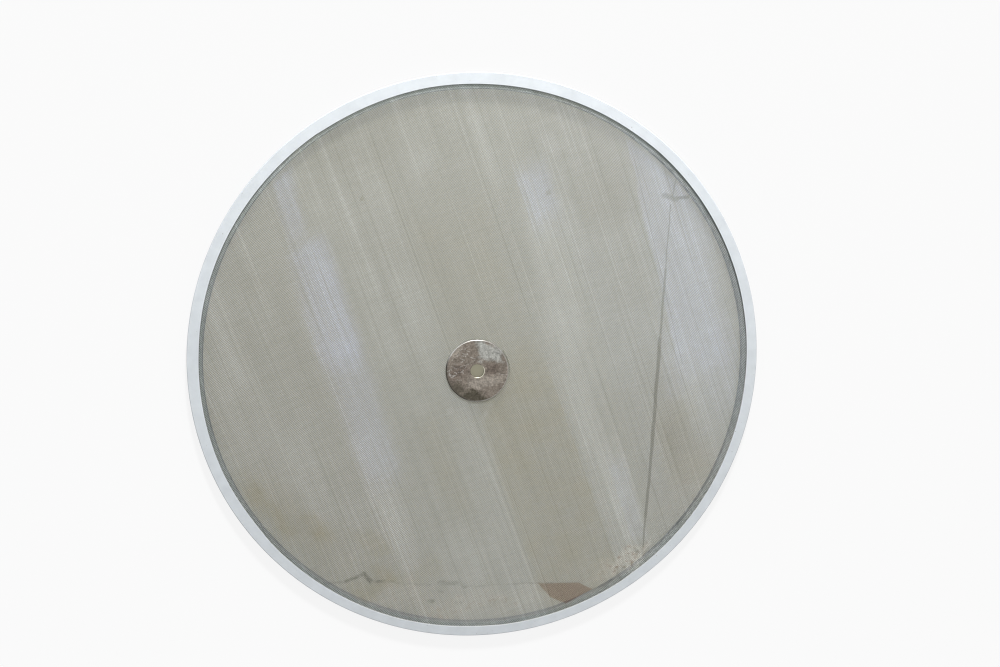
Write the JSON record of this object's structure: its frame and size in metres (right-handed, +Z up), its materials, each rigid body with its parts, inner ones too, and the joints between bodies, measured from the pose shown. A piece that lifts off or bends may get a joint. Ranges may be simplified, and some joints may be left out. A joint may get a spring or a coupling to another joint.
{
  "type": "sifter sieve",
  "caption": "Round powder sifter sieve: woven steel wire cloth on a flat steel ring, with a moulded white silicone rim and a steel centre disc with a bolt hole.",
  "frame": {"origin": "centre of the rim's underside, on the axis of the centre hole, at the level the sieve rests on", "axes": "+Z up through the centre hole, out of the side with the cloth uppermost; +Y along the warp wires of the cloth; +X along the weft wires"},
  "size_m": [0.762, 0.762, 0.0126],
  "materials": {
    "ring_steel": "rolled, dull",
    "cloth_steel": "woven bright wire, dulled by use",
    "white_silicone": "satin, faintly translucent",
    "disc_steel": "stained"
  },
  "bodies": {
    "root": {"support_ring": "ring_steel", "wire_cloth": "cloth_steel", "rim_gasket": "white_silicone", "centre_disc_upper": "disc_steel", "centre_disc_lower": "disc_steel"}
  },
  "joints": []
}
